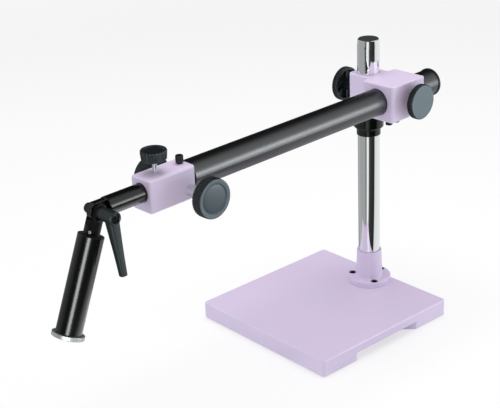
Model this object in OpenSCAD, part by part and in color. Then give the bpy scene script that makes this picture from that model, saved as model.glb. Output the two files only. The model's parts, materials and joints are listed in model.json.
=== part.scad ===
// Boom stand for a stereo microscope: heavy base, chromed column, sliding boom,
// rack-driven extension rod and a tilting drop post that carries the focus mount.
// Millimetres, +Z up.  Origin: centre of the base footprint, on the bench.

/* [Base] */
// Side of the square base plate
base_side = 255; // [245:1:265]
// Thickness of the base plate
base_t = 25; // [22:1:30]
// Radius of the base plate's vertical corners
base_corner_r = 5; // [3:1:8]
// Length of the hand recess under each side, at the edge
grip_len = 126; // [90:2:150]
// Height of the hand recess above the plate's underside
grip_h = 12; // [8:1:14]
// How far the hand recess reaches in from the edge
grip_depth = 30; // [20:1:40]
// How far the foot pads lift the plate off the bench
pad_proud = 1; // [0.5:0.5:2]

/* [Column] */
// Outer diameter of the column
column_d = 32; // [30:0.5:32]
// Height of the column's top above the bench
column_top = 408; // [400:1:440]
// Distance of the column's axis behind the centre of the base
column_back = 99; // [92:1:99]
// Diameter of the socket's flange
flange_d = 65; // [62:1:70]
// Height of the socket's top above the bench
socket_top = 78; // [70:1:84]

/* [Arm] */
// Height of the boom's axis above the bench
boom_z = 331.7; // [320:0.1:340]
// Sideways distance from the column's axis to the boom's axis
boom_side = 46; // [45:0.5:50]
// Swing of the arm around the column, at rest
arm_yaw = 2.2; // [0:0.1:8]
// Outer diameter of the boom tube
boom_d = 38; // [37:0.5:39]
// Distance from the column's axis to the front end of the boom tube
boom_front = 392; // [380:1:420]
// Distance from the column's axis to the rear end of the boom tube
boom_rear = 80; // [72:1:100]
// Diameter of the clamp knobs
clamp_knob_d = 50; // [44:0.5:52]

/* [Drive head] */
// Length of the drive head's body
head_len = 72; // [70:1:80]
// Width of the drive head's body
head_w = 35; // [34:0.5:38]
// Diameter of the extension rod
rod_d = 24; // [23:0.5:24.5]
// Distance from the column's axis to the tilt pivot
pivot_f = 530.6; // [525:0.1:560]
// Diameter of the drive knobs
drive_knob_d = 51; // [46:0.5:52]

/* [Drop post] */
// Forward tilt of the drop post, at rest, in degrees from straight down
post_tilt = 22.5; // [0:0.5:60]
// Outer diameter of the drop post
post_d = 32; // [30:0.5:33]
// Distance from the tilt pivot to the lower end of the post
post_end = 148; // [120:1:150]
// Length of the clamping lever's arm
lever_len = 69; // [55:1:75]

/* [Hidden] */

$fn = 64;
EPS = 0.01;
FIT = 0.05;          // radial clearance of a running fit
SNUG = 0.02;         // radial clearance of a fixed fit

// colours
paint = [0.80, 0.74, 0.86];
black_plastic = [0.08, 0.08, 0.09];
black_metal = [0.10, 0.10, 0.11];
dark_grey = [0.22, 0.22, 0.23];
chrome = [0.85, 0.86, 0.88];
steel = [0.72, 0.73, 0.75];
black_oxide = [0.13, 0.13, 0.14];
brass = [0.78, 0.63, 0.32];
rubber = [0.06, 0.06, 0.06];

// base and socket
base_z = pad_proud;
base_top = base_z + base_t;
pad_r = 14;
pad_pocket = 2;
pad_inset = 26;
flange_t = 8.8;
flange_screw_r = 26;
flange_screws = 3;
m6_r = 3;             // M6 cap screws, here and under the clamp block
m6_head_r = 5;
m6_head_h = 6;
socket_screw_l = 14;
socket_screw_well_r = 5.5;
socket_screw_well = 6.5;
column_r = column_d / 2;
neck_r_low = column_r + 4.3;
neck_r_top = column_r + 2.5;
column_bore_r = 13;
plug_len = 34;
column_bolt_r = 5;
column_bolt_head_r = 8;
column_bolt_head_h = 9;
column_bolt_bite = 22;
column_bolt_well_r = 9;
column_bolt_well = 11;
top_taper = 11;
top_taper_r = column_r - 0.9;
cap_t = 0.8;
cap_plug_len = 12;

// clamp block: a short column section beside a longer boom section
clamp_half_h = 26.6;
clamp_top = boom_z + clamp_half_h;
clamp_bottom = boom_z - clamp_half_h;
column_section_w = 21;
column_section_f = 21;
column_section_r = 7;
section_overlap = 12;
boom_section_x0 = 19;
boom_section_x1 = boom_side + 29;
boom_section_front = 35.5;
boom_section_rear = 35;
boom_section_r = 4;
boom_knob_f = -4;
clamp_screw_r = 4;
shoe_t = 1.6;
shoe_gap = 0.35;      // between a tube and its brake shoe, unclamped
tip_gap = shoe_gap + 0.15 + shoe_t;
shoe_play = 0.1;
column_knob_x = -40.6;
boom_knob_x = 88;
knob_t = 9;
knob_boss_r = 9;
knob_face_t = 2.5;
knob_rim_t = 4;
knob_web_t = 1.8;
knob_web_back = 1.2;
knob_webs = 6;
clamp_flutes = [36, 1.4, 0.8];   // of a knob's rim: how many, their radius and their depth
knob_screw_bite = 6;
column_boss_len = 12;
boom_boss_len = 9;
guide_screw_l = 9;
guide_hole_l = 12;
guide_screw_spots = [[61, 26.5], [61, 11.5]];

// collar
collar_top = clamp_bottom - 0.3;
collar_r = 22;
collar_h = 29.5;
collar_step_r = 17.6;
collar_step_h = 11;
collar_cone_h = 1.5;
collar_screw_r = 3;
collar_screw_sunk = 0.6;
grub_gap = 0.15;

// boom
boom_r = boom_d / 2;
boom_bore_r = 15.5;
end_cap_r = boom_r + 1.4;
end_cap_t = 3.4;
end_plug_len = 14;
spigot_screw_r = 2.5;
spigot_screw_back = 10;
spigot_screw_sunk = 0.4;

// drive head
head_top = 18.7;
head_bottom = -24.6;
head_edge_r = 3;
spigot_len = 20;
rod_r = rod_d / 2;
drive_f = boom_front + 9.4;
lock_f = boom_front + 48.3;
lock_knob_top = 48.3;
lock_knob_h = 13.8;
lock_knob_r = 16.7;
lock_knob_bore = 9;   // depth of the screw's hole in the lock knob
lock_flutes = [20, 1.5, 0.8];
lock_screw_r = 3;
tension_head_r = 5;
tension_head_h = 10;

// rack and pinion
gear_module = 1;
gear_teeth = 12;
gear_pitch_r = gear_module * gear_teeth / 2;
gear_w = 7;
shaft_r = 4;
shaft_z = -rod_r;
rack_pitch_z = shaft_z + gear_pitch_r;
rack_w = 8;
rack_back_z = rack_pitch_z + 4.5;
rack_dedendum = 1.2;
rack_seat_z = rack_pitch_z + rack_dedendum + 1.6;
rod_flat_z = -8;
rod_rear = boom_front - 160;
rack_rear = rod_rear + 12;
rack_pitches = 66;
pressure_angle = 20;
gear_base_r = gear_pitch_r * cos(pressure_angle);
tooth_play = 0.16;   // thinning of each tooth, along the pitch line
rack_addendum = 0.7; // short, so that the rack clears the roots of so small a gear
rack_screw_r = 1.5;
rack_screw_l = 6.5;
rack_screw_head_r = 2.7;
rack_screw_head_h = 1.8;
rack_screw_end = 8;
bush_out_r = 8;
bush_in_r = 6;
bush_seat = 13.3;
drive_knob_x = 47;
drive_knob_t = 15;
knob_bore = 9;        // depth of the shaft's hole in a drive knob
bore_end_gap = 0.5;   // left free at the bottom of a knob's hole
drive_flutes = [30, 1.6, 0.9];
knob_grub_r = 2;
knob_grub_l = 8;
knob_grub_z = 4;
drive_knob_r = drive_knob_d / 2;

// tilt joint: a tongue on the rod between the cheeks of a fork on the post
pivot_drop = 1.5;     // of the tilt pivot below the boom's axis
pivot_z = boom_z - pivot_drop;
tongue_half = 4.2;
tongue_r = 12;
rod_shoulder_f = pivot_f - 12.5;
slot_half = 4.5;
slot_depth = 17;
stub_r = 10;
flat_half = 8;
flat_depth = 11.5;
bolt_r = 4;
bolt_head_r = 6.5;
bolt_head_x = flat_half + 2;
bolt_dome = 5;
washer_r = 7.4;
washer_t = 1.7;
post_start = 28;
post_r = post_d / 2;
post_bore_r = 11.5;
post_cap_t = 2;
fork_spigot_len = 26;
fork_screw_depth = 24.6;
fork_screw_turn = 37;
fork_screw_r = 2;
fork_screw_l = 5.5;
fork_screw_proud = 0.6;
post_floor = 14;      // solid end of the post, for the disc's screw
disc_r = 20;
disc_t = 5;
disc_gap = 0.2;
disc_screw_r = 4;
disc_screw_l = 13;
disc_screw_head_r = 6.6;
disc_screw_head_h = 3.8;
disc_well_r = 7;
disc_well = 4;

// clamping lever: a steel insert on the bolt, a lever that lifts off it to be re-set
insert_start = flat_half + 2;
insert_flange_t = 2.8;
insert_flange_r = 7.8;
insert_core_r = 5.6;
insert_end = 21.2;
bolt_end = 17.4;
lever_start = insert_start + insert_flange_t + 0.3;
lever_end = 36;
lever_hub_r = 8.4;
lever_web_t = 1.5;
lever_lift = 3;
lever_web_end = insert_end + 0.3 + lever_web_t;
spring_start = lever_web_end + lever_lift + 0.15;
spring_t = 4.4;
lever_screw_r = 2.2;
lever_screw_head_r = 5;
lever_screw_head_h = 3.4;
lever_well_r = lever_screw_head_r + 0.7;

// ---------------------------------------------------------------- helpers

// carries its children with the arm: X across the boom, -Y forward, Z from the bench
module arm_place() {
    translate([0, column_back, 0]) rotate([0, 0, arm_yaw]) children();
}

// same, with the origin on the boom's axis at a distance forward of the column
module on_boom(forward = 0) {
    arm_place() translate([boom_side, -forward, boom_z]) children();
}

// same, with the origin on the tilt pivot and -Z along the drop post
module on_post() {
    arm_place() translate([boom_side, -pivot_f, pivot_z]) rotate([-post_tilt, 0, 0]) children();
}

// turns +Z into +X
module along_x() {
    rotate([0, 90, 0]) children();
}

// turns +Z into -Y, the forward direction
module along_boom() {
    rotate([90, 0, 0]) children();
}

// rectangle with round corners, lower left corner at the origin
module round_rect(size, r) {
    translate([r, 0]) square([size[0] - 2 * r, size[1]]);
    translate([0, r]) square([size[0], size[1] - 2 * r]);
    for (x = [r, size[0] - r], y = [r, size[1] - r])
        translate([x, y]) circle(r);
}

// bar of round-cornered section, centred across, standing on its lower face
module round_bar(w, d, h, r) {
    translate([-w / 2, -d / 2, 0]) linear_extrude(h) round_rect([w, d], r);
}

// socket-head screw: head above the origin, shank below
module cap_screw(shank_r, shank_l, head_r, head_h) {
    difference() {
        union() {
            cylinder(r = head_r, h = head_h);
            translate([0, 0, -shank_l]) cylinder(r = shank_r, h = shank_l + EPS);
        }
        translate([0, 0, head_h * 0.45]) cylinder(r = head_r * 0.56, h = head_h, $fn = 6);
    }
}

// grub screw of a given length, socket at the top, top face at the origin
module grub_screw(r, l) {
    difference() {
        translate([0, 0, -l]) cylinder(r = r, h = l);
        translate([0, 0, -l * 0.45]) cylinder(r = r * 0.55, h = l, $fn = 6);
    }
}

// flutes around a knob's rim, cut from the outside; flutes = [how many, radius, depth]
module rim_flutes(r, h, flutes) {
    for (i = [0 : flutes[0] - 1])
        rotate([0, 0, i * 360 / flutes[0]])
            translate([r + flutes[1] - flutes[2], 0, -EPS])
                cylinder(r = flutes[1], h = h + 2 * EPS, $fn = 16);
}

// hollow clamp knob: closed outer face at z = knob_t, open back at z = 0, webs and a boss
module clamp_knob_shape(boss_len) {
    rim_in = clamp_knob_d / 2 - knob_rim_t;
    difference() {
        union() {
            difference() {
                cylinder(r = clamp_knob_d / 2, h = knob_t);
                translate([0, 0, -EPS]) cylinder(r = rim_in, h = knob_t - knob_face_t + EPS);
                rim_flutes(clamp_knob_d / 2, knob_t, clamp_flutes);
            }
            for (i = [0 : knob_webs - 1])
                rotate([0, 0, (i + 0.5) * 360 / knob_webs])
                    translate([knob_boss_r - 1, -knob_web_t / 2, knob_web_back])
                        cube([rim_in - knob_boss_r + 2, knob_web_t, knob_t - 2]);
            translate([0, 0, -boss_len]) cylinder(r = knob_boss_r, h = boss_len + knob_t - 1);
        }
        translate([0, 0, -boss_len - EPS])
            cylinder(r = clamp_screw_r + SNUG, h = boss_len + knob_t - knob_face_t + EPS);
    }
}

// solid drive knob: dished rim and domed centre at z = drive_knob_t, flat back at z = 0
module drive_knob_shape() {
    dome_r = drive_knob_r - 6.5;
    difference() {
        rotate_extrude() polygon([
            [0, 0], [drive_knob_r - 1, 0], [drive_knob_r, 1],
            [drive_knob_r, drive_knob_t - 1.2], [drive_knob_r - 1.2, drive_knob_t],
            [drive_knob_r - 3.6, drive_knob_t], [drive_knob_r - 5, drive_knob_t - 2],
            [dome_r, drive_knob_t - 2],
            for (a = [0 : 15 : 90]) [dome_r * cos(a), drive_knob_t - 2 + 1.8 * sin(a)],
            [0, drive_knob_t - 2]
        ]);
        rim_flutes(drive_knob_r, drive_knob_t, drive_flutes);
        translate([0, 0, -EPS]) cylinder(r = shaft_r + SNUG, h = knob_bore + EPS);
        translate([0, 0, knob_grub_z]) rotate([90, 0, 0])
            cylinder(r = knob_grub_r + SNUG, h = drive_knob_r + 1);
    }
}

// half the width of a rack tooth, y above its pitch line towards the tip
function tooth_half(y) = gear_module * PI / 4 - tooth_play / 2 - y * tan(pressure_angle);

// the involute function, in degrees
function involute(a) = tan(a) * 180 / PI - a;

// half the angle that a gear tooth spans at a radius
function tooth_angle(r) =
    90 / gear_teeth + involute(pressure_angle) - tooth_play / gear_pitch_r * 90 / PI
    - (r > gear_base_r ? involute(acos(gear_base_r / r)) : 0);

module gear_outline() {
    root_r = gear_pitch_r - 1.1 * gear_module;
    tip_r = gear_pitch_r + gear_module;
    steps = 5;
    polygon([
        for (i = [0 : gear_teeth - 1])
            for (side = [-1, 1])
                for (k = [0 : steps])
                    let (up = side < 0 ? k : steps - k)
                    let (r = root_r + (tip_r - root_r) * up / steps)
                    let (a = i * 360 / gear_teeth + side * tooth_angle(r))
                    [r * cos(a), r * sin(a)]
    ]);
}

// ---------------------------------------------------------------- base

module grip_recess() {
    translate([-base_side / 2 - EPS, 0, base_z - EPS]) linear_extrude(grip_h + EPS) polygon([
        [0, -grip_len / 2], [grip_depth, -grip_len / 2 + grip_depth],
        [grip_depth, grip_len / 2 - grip_depth], [0, grip_len / 2]
    ]);
}

module base_plate() {
    color(paint) difference() {
        translate([0, 0, base_z]) round_bar(base_side, base_side, base_t, base_corner_r);
        grip_recess();
        mirror([1, 0, 0]) grip_recess();
        for (x = [-1, 1], y = [-1, 1])
            translate([x * (base_side / 2 - pad_inset), y * (base_side / 2 - pad_inset), base_z - EPS])
                cylinder(r = pad_r + 0.5, h = pad_pocket + EPS);
        for (i = [0 : flange_screws - 1])
            flange_screw_place(i) translate([0, 0, base_top - socket_screw_l])
                cylinder(r = m6_r + SNUG, h = socket_screw_l + EPS);
        translate([0, column_back, base_z - EPS]) cylinder(r = column_bolt_r + 0.5, h = base_t + 1);
        translate([0, column_back, base_z - EPS])
            cylinder(r = column_bolt_well_r, h = column_bolt_well + EPS);
    }
}

module foot_pads() {
    color(rubber) for (x = [-1, 1], y = [-1, 1])
        translate([x * (base_side / 2 - pad_inset), y * (base_side / 2 - pad_inset), 0])
            cylinder(r = pad_r, h = pad_proud + pad_pocket);
}

// ---------------------------------------------------------------- column

module flange_screw_place(i) {
    translate([0, column_back, 0]) rotate([0, 0, 90 + i * 360 / flange_screws])
        translate([flange_screw_r, 0, 0]) children();
}

module column_socket() {
    color(paint) difference() {
        translate([0, column_back, base_top]) union() {
            cylinder(r = flange_d / 2, h = flange_t);
            cylinder(r1 = neck_r_low, r2 = neck_r_top, h = socket_top - base_top);
        }
        translate([0, column_back, base_top - EPS])
            cylinder(r = column_r + SNUG, h = socket_top - base_top + 1);
        for (i = [0 : flange_screws - 1])
            flange_screw_place(i) {
                translate([0, 0, base_top - EPS]) cylinder(r = m6_r + 0.2, h = flange_t + 1);
                translate([0, 0, base_top + flange_t - socket_screw_well])
                    cylinder(r = socket_screw_well_r, h = socket_screw_well + 0.5);
            }
    }
}

module socket_screws() {
    color(black_oxide) for (i = [0 : flange_screws - 1])
        flange_screw_place(i) translate([0, 0, base_top + flange_t - socket_screw_well])
            cap_screw(m6_r, socket_screw_l, m6_head_r, m6_head_h);
}

module column_tube() {
    color(chrome) translate([0, column_back, 0]) difference() {
        union() {
            translate([0, 0, base_top]) cylinder(r = column_r, h = column_top - top_taper - base_top);
            translate([0, 0, column_top - top_taper])
                cylinder(r1 = column_r, r2 = top_taper_r, h = top_taper - cap_t);
        }
        translate([0, 0, base_top - EPS]) cylinder(r = column_bore_r, h = column_top);
    }
}

module column_foot_plug() {
    color(steel) translate([0, column_back, base_top]) difference() {
        cylinder(r = column_bore_r - SNUG, h = plug_len);
        translate([0, 0, -EPS]) cylinder(r = column_bolt_r + SNUG, h = plug_len - 6);
    }
}

module column_bolt() {
    color(black_oxide) translate([0, column_back, base_z + column_bolt_well]) rotate([180, 0, 0])
        cap_screw(column_bolt_r, base_t - column_bolt_well + column_bolt_bite,
            column_bolt_head_r, column_bolt_head_h);
}

module column_cap() {
    color(black_plastic) translate([0, column_back, column_top - cap_t]) {
        cylinder(r = top_taper_r - 0.2, h = cap_t);
        translate([0, 0, -cap_plug_len]) cylinder(r = column_bore_r - SNUG, h = cap_plug_len + EPS);
    }
}

// ---------------------------------------------------------------- safety collar

module safety_collar() {
    color(black_metal) arm_place() difference() {
        union() {
            translate([0, 0, collar_top - collar_h]) cylinder(r = collar_r, h = collar_h);
            translate([0, 0, collar_top - collar_h - collar_cone_h])
                cylinder(r1 = collar_step_r, r2 = collar_r, h = collar_cone_h + EPS);
            translate([0, 0, collar_top - collar_h - collar_step_h])
                cylinder(r = collar_step_r, h = collar_step_h);
        }
        translate([0, 0, collar_top - collar_h - collar_step_h - 1])
            cylinder(r = column_r + FIT, h = collar_h + collar_step_h + 2);
        translate([0, column_r, collar_top - collar_h / 2]) rotate([-90, 0, 0])
            cylinder(r = collar_screw_r + SNUG, h = 10);
    }
}

module collar_screw() {
    color(black_oxide) arm_place() translate([0, collar_r - collar_screw_sunk, collar_top - collar_h / 2])
        rotate([-90, 0, 0])
            grub_screw(collar_screw_r, collar_r - collar_screw_sunk - column_r - grub_gap);
}

// ---------------------------------------------------------------- clamp block

module clamp_block() {
    boom_w = boom_section_x1 - boom_section_x0;
    boom_l = boom_section_front + boom_section_rear;
    color(paint) arm_place() difference() {
        translate([0, 0, clamp_bottom]) linear_extrude(clamp_top - clamp_bottom) union() {
            translate([-column_section_w, -column_section_f])
                round_rect([column_section_w + boom_section_x0 + section_overlap, 2 * column_section_f],
                    column_section_r);
            translate([boom_section_x0, -boom_section_front]) round_rect([boom_w, boom_l], boom_section_r);
        }
        translate([0, 0, clamp_bottom - 1]) cylinder(r = column_r + FIT, h = clamp_top - clamp_bottom + 2);
        translate([boom_side, boom_l, boom_z]) along_boom() cylinder(r = boom_r + FIT, h = 2 * boom_l);
        translate([-column_section_w - 1, 0, boom_z]) along_x()
            cylinder(r = clamp_screw_r + SNUG, h = column_section_w + 1 - column_r + 1);
        translate([boom_side + boom_r - 1, -boom_knob_f, boom_z]) along_x()
            cylinder(r = clamp_screw_r + SNUG, h = boom_section_x1);
        for (s = guide_screw_spots)
            translate([s[0], -s[1], clamp_bottom - EPS]) cylinder(r = m6_r + SNUG, h = guide_hole_l);
    }
}

module guide_screws() {
    color(black_oxide) arm_place() for (s = guide_screw_spots)
        translate([s[0], -s[1], clamp_bottom]) rotate([180, 0, 0])
            cap_screw(m6_r, guide_screw_l, m6_head_r, m6_head_h);
}

module column_brake_shoe() {
    color(brass) arm_place() translate([-column_r - shoe_gap - shoe_t, 0, boom_z]) along_x()
        cylinder(r = clamp_screw_r - shoe_play, h = shoe_t);
}

module boom_brake_shoe() {
    color(brass) arm_place() translate([boom_side + boom_r + shoe_gap, -boom_knob_f, boom_z]) along_x()
        cylinder(r = clamp_screw_r - shoe_play, h = shoe_t);
}

module column_clamp_knob() {
    color(black_plastic) arm_place() translate([column_knob_x, 0, boom_z]) mirror([1, 0, 0]) along_x()
        clamp_knob_shape(column_boss_len);
}

module column_clamp_screw() {
    tip = -column_r - tip_gap;
    head = column_knob_x - knob_screw_bite;
    color(steel) arm_place() translate([head, 0, boom_z]) along_x()
        cylinder(r = clamp_screw_r, h = tip - head);
}

module boom_clamp_knob() {
    color(black_plastic) arm_place() translate([boom_knob_x, -boom_knob_f, boom_z]) along_x()
        clamp_knob_shape(boom_boss_len);
}

module boom_clamp_screw() {
    tip = boom_side + boom_r + tip_gap;
    color(steel) arm_place() translate([tip, -boom_knob_f, boom_z]) along_x()
        cylinder(r = clamp_screw_r, h = boom_knob_x + knob_screw_bite - tip);
}

// ---------------------------------------------------------------- boom

module boom_tube() {
    color(dark_grey) on_boom(-boom_rear) along_boom() difference() {
        cylinder(r = boom_r, h = boom_rear + boom_front - 0.2);
        translate([0, 0, -1]) cylinder(r = boom_bore_r, h = boom_rear + boom_front + 2);
        translate([0, -boom_bore_r + 1, boom_rear + boom_front - spigot_screw_back]) rotate([90, 0, 0])
            cylinder(r = spigot_screw_r + SNUG, h = boom_r);
    }
}

module boom_end_cap() {
    color(black_plastic) on_boom(-boom_rear) along_boom() {
        translate([0, 0, -end_cap_t]) cylinder(r = end_cap_r, h = end_cap_t);
        translate([0, 0, -EPS]) cylinder(r = boom_bore_r - SNUG, h = end_plug_len);
    }
}

module spigot_screw() {
    color(black_oxide) on_boom(boom_front - spigot_screw_back)
        translate([0, 0, -boom_r + spigot_screw_sunk]) rotate([180, 0, 0])
            grub_screw(spigot_screw_r, boom_r - spigot_screw_sunk - boom_bore_r - grub_gap);
}

// ---------------------------------------------------------------- drive head

module drive_head() {
    color(paint) on_boom(boom_front) difference() {
        union() {
            along_boom() translate([-head_w / 2, head_bottom, 0])
                linear_extrude(head_len) round_rect([head_w, head_top - head_bottom], head_edge_r);
            along_boom() translate([0, 0, -spigot_len])
                cylinder(r = boom_bore_r - FIT, h = spigot_len + EPS);
        }
        along_boom() translate([0, 0, -spigot_len - 1])
            cylinder(r = rod_r + FIT, h = head_len + spigot_len + 2);
        translate([0, -(drive_f - boom_front), shaft_z]) along_x() {
            translate([0, 0, -gear_w / 2 - 1.5])
                cylinder(r = gear_pitch_r + gear_module + 0.6, h = gear_w + 3);
            translate([0, 0, -head_w]) cylinder(r = shaft_r + 0.2, h = 2 * head_w);
            for (s = [0, 1]) mirror([0, 0, s]) translate([0, 0, bush_seat - 0.2])
                cylinder(r = bush_in_r + SNUG, h = head_w);
        }
        translate([0, -(lock_f - boom_front), rod_r - 1]) cylinder(r = lock_screw_r + SNUG, h = head_top);
        translate([0, -(drive_f - boom_front), rod_r - 1]) cylinder(r = lock_screw_r + SNUG, h = head_top);
    }
}

module rod_brake_shoe() {
    color(brass) on_boom(lock_f) translate([0, 0, rod_r + shoe_gap])
        cylinder(r = lock_screw_r - shoe_play, h = shoe_t);
}

module tension_screw() {
    color(black_oxide) on_boom(drive_f) translate([0, 0, head_top + 1])
        cap_screw(lock_screw_r, head_top + 1 - rod_r - 0.5, tension_head_r, tension_head_h);
}

module rod_lock_knob() {
    color(black_plastic) on_boom(lock_f) translate([0, 0, lock_knob_top - lock_knob_h]) difference() {
        rotate_extrude() polygon([
            [0, 0], [lock_knob_r - 2, 0], [lock_knob_r - 0.6, 1.6],
            [lock_knob_r, lock_knob_h - 1.4], [lock_knob_r - 1.2, lock_knob_h],
            [lock_knob_r - 2.8, lock_knob_h], [lock_knob_r - 4.4, lock_knob_h - 1.8],
            [0, lock_knob_h - 1.8]
        ]);
        rim_flutes(lock_knob_r, lock_knob_h, lock_flutes);
        translate([0, 0, -EPS]) cylinder(r = lock_screw_r + SNUG, h = lock_knob_bore);
    }
}

module rod_lock_screw() {
    tip = rod_r + tip_gap;
    color(steel) on_boom(lock_f) translate([0, 0, tip])
        cylinder(r = lock_screw_r, h = lock_knob_top - lock_knob_h + lock_knob_bore - bore_end_gap - tip);
}

module bush_shape() {
    difference() {
        union() {
            translate([0, 0, bush_seat]) cylinder(r = bush_in_r, h = head_w / 2 - bush_seat + EPS);
            translate([0, 0, head_w / 2]) cylinder(r = bush_out_r, h = drive_knob_x - head_w / 2 - 1);
        }
        cylinder(r = shaft_r + FIT, h = drive_knob_x + 1);
    }
}

module bush_right() {
    color(steel) on_boom(drive_f) translate([0, 0, shaft_z]) along_x() bush_shape();
}

module bush_left() {
    color(steel) on_boom(drive_f) translate([0, 0, shaft_z]) mirror([1, 0, 0]) along_x() bush_shape();
}

module pinion_shaft() {
    half = drive_knob_x + knob_bore - bore_end_gap;
    color(steel) on_boom(drive_f) translate([-half, 0, shaft_z]) along_x()
        cylinder(r = shaft_r, h = 2 * half);
}

// a tooth space points straight up, to take the rack's tooth
module pinion_gear() {
    color(brass) on_boom(drive_f) translate([-gear_w / 2, 0, shaft_z]) along_x()
        difference() {
            linear_extrude(gear_w) rotate([0, 0, 180 + 180 / gear_teeth]) gear_outline();
            translate([0, 0, -1]) cylinder(r = shaft_r + SNUG, h = gear_w + 2);
        }
}

module drive_knob_right() {
    color(black_plastic) on_boom(drive_f) translate([drive_knob_x, 0, shaft_z]) along_x()
        drive_knob_shape();
}

module drive_knob_left() {
    color(black_plastic) on_boom(drive_f) translate([-drive_knob_x, 0, shaft_z]) mirror([1, 0, 0])
        along_x() drive_knob_shape();
}

module drive_knob_screws() {
    color(black_oxide) on_boom(drive_f) for (s = [0, 1]) mirror([s, 0, 0])
        translate([drive_knob_x, 0, shaft_z]) along_x()
            translate([0, -shaft_r - 0.3 - knob_grub_l, knob_grub_z]) rotate([90, 0, 0])
                grub_screw(knob_grub_r, knob_grub_l);
}

// ---------------------------------------------------------------- extension rod

module extension_rod() {
    color(black_metal) difference() {
        union() {
            on_boom(rod_rear) along_boom() difference() {
                cylinder(r = rod_r, h = rod_shoulder_f - rod_rear);
                translate([-rod_r, -rod_r - 1, -1])
                    cube([2 * rod_r, rod_r + 1 + rod_flat_z, rack_rear + rack_pitches * PI + 3 - rod_rear + 1]);
                translate([-rack_w / 2 - SNUG, -rod_r, -1])
                    cube([rack_w + 2 * SNUG, rod_r + rack_back_z, rack_rear + rack_pitches * PI - rod_rear + 1.2]);
                for (f = rack_screw_places())
                    translate([0, rack_back_z - 1, f - rod_rear]) rotate([-90, 0, 0])
                        cylinder(r = rack_screw_r + SNUG, h = 7);
            }
            on_boom(rod_shoulder_f) translate([-tongue_half, -(pivot_f - rod_shoulder_f), -tongue_r - pivot_drop])
                cube([2 * tongue_half, pivot_f - rod_shoulder_f + 1, 2 * tongue_r]);
            on_boom(pivot_f) translate([-tongue_half, 0, -pivot_drop]) along_x()
                cylinder(r = tongue_r, h = 2 * tongue_half);
        }
        on_boom(pivot_f) translate([-rod_r, 0, -pivot_drop]) along_x() cylinder(r = bolt_r + FIT, h = 2 * rod_r);
    }
}

function rack_screw_places() = [rack_rear + rack_screw_end, rack_rear + rack_pitches * PI - rack_screw_end];

// rack bar with straight-flanked teeth facing down
module rod_rack() {
    pitch = PI * gear_module;
    start = rack_rear - drive_f;
    first = ceil((start + pitch) / pitch);
    tip = rack_pitch_z - rack_addendum;
    root = rack_pitch_z + rack_dedendum;
    color(steel) on_boom(drive_f) difference() {
        translate([rack_w / 2, 0, 0]) rotate([0, -90, 0]) linear_extrude(rack_w) polygon([
            [rack_back_z, -start],
            for (i = [first : first + rack_pitches - 3])
                for (p = [[root, -tooth_half(-rack_dedendum)], [tip, -tooth_half(rack_addendum)],
                    [tip, tooth_half(rack_addendum)], [root, tooth_half(-rack_dedendum)]])
                [p[0], -i * pitch - p[1]],
            [rack_back_z, -start - rack_pitches * pitch]
        ]);
        for (f = rack_screw_places())
            translate([0, -(f - drive_f), 0]) {
                translate([0, 0, -rod_r]) cylinder(r = rack_screw_r + SNUG, h = 2 * rod_r);
                translate([0, 0, tip - 1]) cylinder(r = rack_screw_head_r + 0.1, h = rack_seat_z - tip + 1);
            }
    }
}

module rack_screws() {
    color(black_oxide) for (f = rack_screw_places())
        on_boom(f) translate([0, 0, rack_seat_z]) rotate([180, 0, 0])
            cap_screw(rack_screw_r, rack_screw_l, rack_screw_head_r, rack_screw_head_h);
}

// ---------------------------------------------------------------- drop post

module post_fork() {
    color(black_metal) on_post() difference() {
        union() {
            intersection() {
                translate([0, 0, -post_start]) cylinder(r = stub_r, h = post_start + stub_r);
                union() {
                    translate([-stub_r, 0, 0]) along_x() cylinder(r = stub_r, h = 2 * stub_r);
                    translate([-stub_r, -stub_r, -post_start])
                        cube([2 * stub_r, 2 * stub_r, post_start]);
                }
            }
            translate([0, 0, -post_start - post_cap_t]) cylinder(r = post_r, h = post_cap_t);
            translate([0, 0, -post_start - fork_spigot_len])
                cylinder(r = post_bore_r - SNUG, h = fork_spigot_len);
        }
        translate([-slot_half, -post_r, -slot_depth]) cube([2 * slot_half, post_d, slot_depth + post_r]);
        for (s = [0, 1]) mirror([s, 0, 0])
            translate([flat_half, -post_r, -flat_depth]) cube([post_r, post_d, flat_depth + post_r]);
        translate([-stub_r, 0, 0]) along_x() cylinder(r = bolt_r + FIT, h = 2 * stub_r);
        fork_screw_place() translate([0, 0, -6]) cylinder(r = fork_screw_r + SNUG, h = 10);
    }
}

// origin on the stub's surface, +Z outward, between the front and the lever's side
module fork_screw_place() {
    rotate([0, 0, fork_screw_turn]) translate([0, -stub_r, -fork_screw_depth]) rotate([90, 0, 0])
        children();
}

module fork_screw() {
    color(steel) on_post() fork_screw_place() translate([0, 0, fork_screw_proud])
        grub_screw(fork_screw_r, fork_screw_l);
}

module drop_post() {
    color(black_metal) on_post() translate([0, 0, -post_end]) difference() {
        cylinder(r = post_r, h = post_end - post_start - post_cap_t);
        translate([0, 0, post_floor]) cylinder(r = post_bore_r, h = post_end);
        translate([0, 0, -1]) cylinder(r = disc_screw_r + SNUG, h = post_floor + 2);
    }
}

module pivot_bolt() {
    color(black_oxide) on_post() translate([-bolt_head_x, 0, 0]) {
        mirror([1, 0, 0]) along_x() rotate_extrude() polygon([
            [0, 0], [bolt_head_r, 0],
            for (a = [0 : 15 : 90]) [bolt_head_r * cos(a), bolt_dome + bolt_dome * sin(a)]
        ]);
        translate([-EPS, 0, 0]) along_x() cylinder(r = bolt_r, h = bolt_head_x + bolt_end + EPS);
    }
}

module pivot_washers() {
    color(steel) on_post() for (s = [0, 1]) mirror([s, 0, 0])
        translate([flat_half + 0.1, 0, 0]) along_x() difference() {
            cylinder(r = washer_r, h = washer_t);
            translate([0, 0, -1]) cylinder(r = bolt_r + 0.2, h = washer_t + 2);
        }
}

// ---------------------------------------------------------------- clamping lever

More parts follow.
